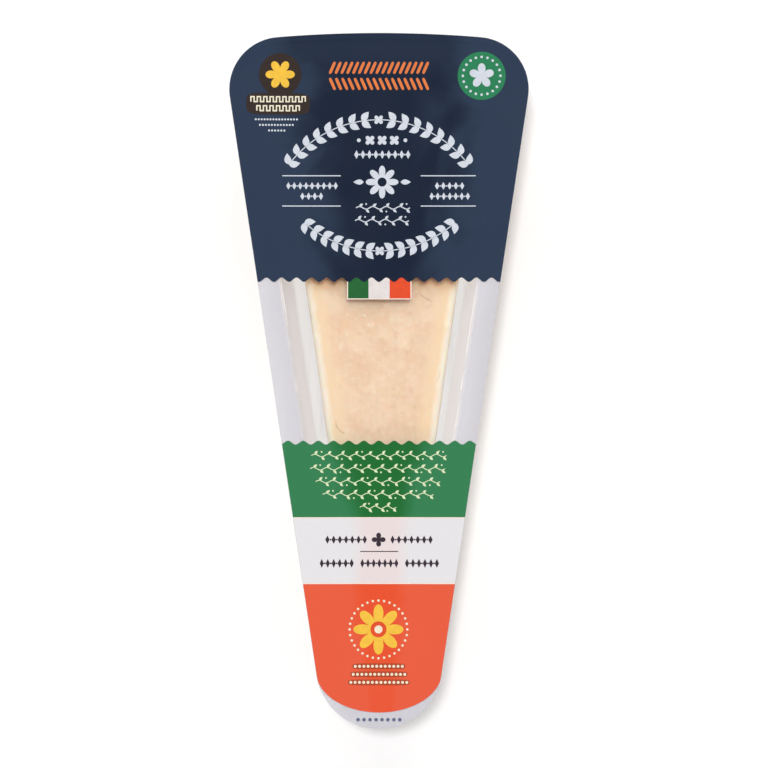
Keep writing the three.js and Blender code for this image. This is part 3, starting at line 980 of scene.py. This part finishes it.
class PARMESAN_OT_fields(bpy.types.Operator):
    """Print the fields of colour on the film: navy, the striped tab, green, white and orange"""

    bl_idname = "parmesan.fields"
    bl_label = "Print fields"

    def execute(self, context):
        c = context.scene.pack_colours
        rows = context.scene.pack_sizes.print_rows

        def level(y):
            return lambda x: np.full(np.shape(x), float(y))

        def navy_edge(x):
            return NAVY_EDGE_Y - NAVY_WAVE[1] * np.cos(2 * math.pi * x / NAVY_WAVE[0])

        def green_edge(x):
            return GREEN_EDGE_Y + GREEN_WAVE[1] * np.cos(2 * math.pi * x / GREEN_WAVE[0])

        def orange_arc(x):
            return ORANGE_ARC_Y - ORANGE_ARC[1] * np.sqrt(np.maximum(1 - (x / ORANGE_ARC[0]) ** 2, 0))

        def field(name, lower, upper, middle, sides, crowd=1.0):
            drawing = Drawing(1)
            drawing.add(*field_grid(lower, upper, rows, crowd))
            drawing.piece(f"{name}_field", ink(f"{name}_ink", middle, sides), f"{name}_print")

        white_top, orange_top = level(GREEN_TO_WHITE_Y), level(WHITE_TO_ORANGE_Y - UNDERPRINT)
        field("navy", navy_edge, level(PACK_LENGTH / 2), c.navy_middle, c.navy_sides, crowd=2)
        field("green", white_top, green_edge, c.green_middle, c.green_sides)
        field("white", orange_top, white_top, c.white_middle, c.white_sides)
        field("orange", orange_arc, orange_top, c.orange_middle, c.orange_sides)

        stripes = (
            ("tab_green", (36, 97, 50), "green_print"),
            ("tab_white", (217, 210, 208), "white_print"),
            ("tab_red", (218, 76, 42), "orange_print"),
        )
        share = np.linspace(0, 1, 12)[:, None]
        for k, (name, shade, slot) in enumerate(stripes):
            stripe = Drawing(0.6)
            x = np.linspace(*TAB_STRIPES_X[k : k + 2], 24)
            stripe.add(x, TAB_BOTTOM_Y + share * (NAVY_EDGE_Y + 1 - TAB_BOTTOM_Y))
            stripe.flat_piece(name, linear(*shade), slot)
        rim = Drawing(0.4)
        left, right = TAB_STRIPES_X[0] - UNDERPRINT / 2, TAB_STRIPES_X[3] + UNDERPRINT / 2
        bottom = TAB_BOTTOM_Y - UNDERPRINT / 2
        rim.line((left, NAVY_EDGE_Y), (left, bottom), UNDERPRINT / 2)
        rim.line((left, bottom), (right, bottom), UNDERPRINT / 2)
        rim.line((right, bottom), (right, NAVY_EDGE_Y), UNDERPRINT / 2)
        rim.flat_piece("tab_underprint", c.underprint, "white_print")
        seams = Drawing(2)
        for y in (GREEN_TO_WHITE_Y, WHITE_TO_ORANGE_Y - UNDERPRINT / 2):
            half = float(OUTLINE.half_width(y)) - PRINT_INSET
            seams.line((-half, y), (half, y), UNDERPRINT / 2, points=160)
        seams.flat_piece("field_seams", c.underprint, "white_print")
        return {"FINISHED"}


class PARMESAN_OT_ornament(bpy.types.Operator):
    """Print the plain ornament: garlands, rosettes, discs, rules, vines, and rows of simple shapes"""

    bl_idname = "parmesan.ornament"
    bl_label = "Ornament"

    def execute(self, context):
        c = context.scene.pack_colours
        self.navy_field(c)
        self.corner_discs(c)
        self.green_field(c)
        self.white_field(c)
        self.orange_field(c)
        return {"FINISHED"}

    def navy_field(self, c):
        """Slanting bars at the wide end, and two garlands round a daisy with rows on both sides of it."""
        band = Drawing(2)
        for row, y in enumerate((90.0, 85.4)):
            lean = 0.42 if row else -0.42
            for x in np.linspace(-13.4, 13.4, 17 - row):
                band.bar((x, y), (0.42, 1.85), turn=lean)
        band.flat_piece("ornament_amber", c.amber, "orange_print")

        middle = (0.9, 57.2)
        pale = Drawing(2)
        garland(pale, (-0.1, 42.8), 32.3, math.radians(53), pairs=8, height=5.8, upwards=True)
        garland(pale, (0.2, 70.4), 33.0, math.radians(41), pairs=7, height=5.8, upwards=False)
        for x in (-5.8, 7.6):
            pale.blob((x, 69.2), 0.55, rings=1, count=16)
        for x in (-2.6, 0.9, 4.4):
            rosette(pale, (x, 69.2), 1.55, 4, turn=math.pi / 4)
        lozenge_row(pale, 65.1, -7.4, 9.3, 2.3, 1.9)
        rosette(pale, middle, 4.7, 8, waist=0.4)
        for side in (-1, 1):
            toward = 0 if side > 0 else math.pi
            pale.leaf((middle[0] + side * 5.3, middle[1]), 3.0, 0.75, toward)
            for y in (59.0, 50.3):
                pale.line((side * 11.5 + 0.5, y), (side * 27.8, y), 0.15)
        vine_row(pale, 49.8, -6.6, 8.9, 2.9, seed=3, stroke=0.15)
        vine_row(pale, 46.1, -6.9, 8.6, 2.9, seed=4, stroke=0.15)
        rows = ((56.1, -26.9, -11.6), (53.1, -22.9, -15.8), (56.1, 15.8, 24.8), (53.1, 14.3, 26.4))
        for y, left, right in rows:
            lozenge_row(pale, y, left, right, 2.0, 1.7)
        pale.flat_piece("ornament_pale", c.pale, "pale_print")
        spot("rosette_heart", 3, middle, 1.3, c.navy_middle, "navy_print", count=32)

    def corner_discs(self, c):
        """A disc in each corner of the wide end, the left one over a plaque and rows of dots."""
        left_disc, right_disc, plaque = (-28.4, 88.1), (29.5, 87.7), (-29.0, 79.7)
        spot("disc_green", 2, right_disc, 6.9, c.disc_green, "green_print", rings=8, count=72)
        brown = Drawing(2)
        brown.blob(left_disc, 6.1, rings=8, count=72)
        brown.bar(plaque, (9.1, 3.1), turn=-0.01, rings=12, count=72)
        brown.flat_piece("plaque_brown", c.brown, "brown_print")
        gold = Drawing(3)
        rosette(gold, left_disc, 4.2, 6, waist=0.45)
        gold.flat_piece("rosette_gold", c.gold, "gold_print")
        marks = Drawing(3)
        rosette(marks, right_disc, 3.6, 5, turn=math.pi / 2, waist=0.4)
        bead_ring(marks, right_disc, 5.4, 20, 0.38)
        for y, left, right in ((75.2, -35.4, -23.6), (73.6, -34.2, -24.8), (72.0, -31.6, -27.2)):
            dot_row(marks, y, left, right, 0.3, 0.85)
        marks.flat_piece("ornament_marks", c.pale, "pale_print")
        keys = Drawing(3.5)
        for lift, reach in ((1.3, 7.8), (-1.3, 6.1)):
            battlement_row(keys, plaque[1] + lift, plaque[0] - reach, plaque[0] + reach, 1.8, 1.7, 0.19)
        keys.flat_piece("plaque_keys", c.cream, "pale_print")

    def green_field(self, c):
        """Four long vines and a short one."""
        vines = Drawing(2)
        rows = ((-21.4, -19.4, 19.4), (-25.2, -19.8, 19.0), (-28.9, -18.2, 17.6), (-32.6, -16.2, 15.7))
        for seed, (y, left, right) in enumerate((*rows, (-36.3, -5.5, 5.0)), start=31):
            vine_row(vines, y, left, right, 2.8, seed)
        vines.flat_piece("ornament_vines", c.leaf_green, "pale_print")

    def white_field(self, c):
        """A flower between two rows of lozenges, a rule, and three more rows."""
        dark = Drawing(2)
        for left, right in ((-15.7, -3.2), (3.0, 15.7)):
            lozenge_row(dark, -45.6, left, right, 2.2, 1.8)
        rosette(dark, (-0.1, -45.6), 2.0, 4, waist=0.3)
        dark.line((-5.4, -49.0), (5.5, -49.0), 0.13)
        for left, right in ((-17.3, -7.0), (-5.6, 5.8), (7.2, 17.5)):
            lozenge_row(dark, -52.4, left, right, 2.4, 1.7)
        dark.flat_piece("ornament_dark", c.dark, "dark_print")

    def orange_field(self, c):
        """A daisy in a ring of beads, dots on three bars below it, and dots at the clear tip."""
        middle = (-0.15, -71.4)
        rows = ((-82.0, -7.2, 7.1), (-84.3, -7.8, 7.8), (-86.6, -8.5, 8.4))
        gold = Drawing(2)
        rosette(gold, middle, 7.2, 8, rings=6)
        gold.flat_piece("roundel_gold", c.gold, "gold_print")
        backing = Drawing(2)
        for y, left, right in rows:
            backing.bar(((left + right) / 2, y), ((right - left) / 2 + 0.4, 0.85), rings=10, count=48)
        backing.flat_piece("bead_backing", c.rust, "orange_print")
        cream = Drawing(3)
        bead_ring(cream, middle, 8.3, 32, 0.36)
        for y, left, right in rows:
            dot_row(cream, y, left + 0.4, right - 0.4, 0.42, 1.2)
        cream.flat_piece("ornament_cream", c.cream, "white_print")
        spot("roundel_red", 3, middle, 2.3, c.orange_middle, "orange_print")
        spot("roundel_heart", 4, middle, 1.15, c.cream, "pale_print", rings=2, count=32)
        tip = Drawing(2)
        dot_row(tip, -97.3, -6.0, 6.0, 0.5, 1.7)
        tip.flat_piece("tip_beads", c.slate, "dark_print")


class PARMESAN_OT_stage(bpy.types.Operator):
    """Set the pale floor, the soft lights and the camera that looks straight down"""

    bl_idname = "parmesan.stage"
    bl_label = "Stage"

    def execute(self, context):
        scene = context.scene
        self.floor(scene)
        self.lights(scene)
        self.camera(scene)
        scene.view_settings.view_transform = "Standard"
        return {"FINISHED"}

    def floor(self, scene):
        """A wide pale sheet under the pack."""
        mesh = bpy.data.meshes.new("floor")
        mesh.from_pydata([(-4, -4, 0), (4, -4, 0), (4, 4, 0), (-4, 4, 0)], [], [(0, 1, 2, 3)])
        floor = bpy.data.objects.new("floor", mesh)
        scene.collection.objects.link(floor)
        f = Finish("pale_floor")
        f.put(f.shader, {"Base Color": (0.93, 0.93, 0.93, 1), "Roughness": 0.9, "Specular IOR Level": 0.1})
        f.put(f.shader, {"Emission Color": (1, 1, 1, 1), "Emission Strength": FLOOR_GLOW})
        mesh.materials.append(f.material)

    def lights(self, scene):
        """A dim white room, four soft boxes round the pack, and a soft lamp overhead for the pack.

        The floor has a lamp of its own, which leans a little from the upper left. Only the tray shades it,
        so a thin shadow of even depth shows along the right side and the tip.
        """
        world = bpy.data.worlds.new("studio")
        world.use_nodes = True
        world.node_tree.nodes["Background"].inputs["Color"].default_value = (1, 1, 1, 1)
        world.node_tree.nodes["Background"].inputs["Strength"].default_value = ROOM_GLOW
        scene.world = world

        def lamp(kind, name, place, energy):
            light = bpy.data.lights.new(name, kind)
            light.energy = energy
            made = bpy.data.objects.new(name, light)
            made.location = place
            made.rotation_euler = (-made.location).to_track_quat("-Z", "Y").to_euler()
            scene.collection.objects.link(made)
            return made

        boxes = (
            ("wide_end_light", (0.0, 0.9, 0.9), (1.0, 0.7), 4.2),
            ("left_light", (-0.9, 0.0, 0.7), (0.9, 0.9), 1.9),
            ("right_light", (0.9, 0.0, 0.7), (0.9, 0.9), 1.75),
            ("tip_light", (0.0, -1.0, 0.5), (1.0, 0.6), 1.2),
        )
        for name, place, size, power in boxes:
            box = lamp("AREA", name, place, power)
            box.data.shape = "RECTANGLE"
            box.data.size, box.data.size_y = size

        def link(name, piece, state):
            """A collection for a lamp that lights, or is shaded by, one object alone or all but that one."""
            chosen = bpy.data.collections.new(name)
            chosen.objects.link(bpy.data.objects[piece])
            for entry in chosen.collection_objects:
                entry.light_linking.link_state = state
            return chosen

        overhead = lamp("SUN", "overhead_light", (0.05, 0.27, 1.0), 2.05)
        overhead.data.angle = math.radians(22)
        overhead.light_linking.receiver_collection = link("without_floor", "floor", "EXCLUDE")
        for_floor = lamp("SUN", "floor_light", (-0.068, 0.132, 1.0), 1.67)
        for_floor.data.angle = math.radians(7)
        for_floor.light_linking.receiver_collection = link("only_floor", "floor", "INCLUDE")
        for_floor.light_linking.blocker_collection = link("only_tray", "tray_shell", "INCLUDE")
        for light in (overhead, for_floor):
            light.visible_glossy = False

    def camera(self, scene):
        """It looks straight down, and sees as much of the film as the photograph does."""
        distance, sensor = 1.1, 36.0
        data = bpy.data.cameras.new("camera")
        data.sensor_width = sensor
        data.lens = sensor * distance / (PHOTO_WIDTH * MM)
        camera = bpy.data.objects.new("camera", data)
        camera.location = (*(place * MM for place in PHOTO_MIDDLE), distance + TRAY_DEPTH * MM)
        scene.collection.objects.link(camera)
        scene.camera = camera


class PARMESAN_PT_panel(bpy.types.Panel):
    """The pack's pieces, sizes and colours"""

    bl_label = "Parmesan Pack"
    bl_idname = "PARMESAN_PT_panel"
    bl_space_type = "VIEW_3D"
    bl_region_type = "UI"
    bl_category = "Parmesan Pack"

    def draw(self, context):
        for group in (context.scene.pack_sizes, context.scene.pack_colours):
            for name in group.bl_rna.properties.keys():
                if name not in ("rna_type", "name"):
                    self.layout.prop(group, name)
        for operator in STEPS:
            self.layout.operator(operator.bl_idname)


STEPS = (
    PARMESAN_OT_tray,
    PARMESAN_OT_cheese,
    PARMESAN_OT_film,
    PARMESAN_OT_fields,
    PARMESAN_OT_ornament,
    PARMESAN_OT_stage,
)
CLASSES = (PackSizes, PackColours, *STEPS, PARMESAN_PT_panel)


def register():
    for cls in CLASSES:
        bpy.utils.register_class(cls)
    bpy.types.Scene.pack_sizes = PointerProperty(type=PackSizes)
    bpy.types.Scene.pack_colours = PointerProperty(type=PackColours)


def unregister():
    del bpy.types.Scene.pack_colours
    del bpy.types.Scene.pack_sizes
    for cls in reversed(CLASSES):
        bpy.utils.unregister_class(cls)


def main():
    register()
    bpy.ops.parmesan.tray()
    bpy.ops.parmesan.cheese()
    bpy.ops.parmesan.film()
    bpy.ops.parmesan.fields()
    bpy.ops.parmesan.ornament()
    bpy.ops.parmesan.stage()


if __name__ == "__main__":
    main()
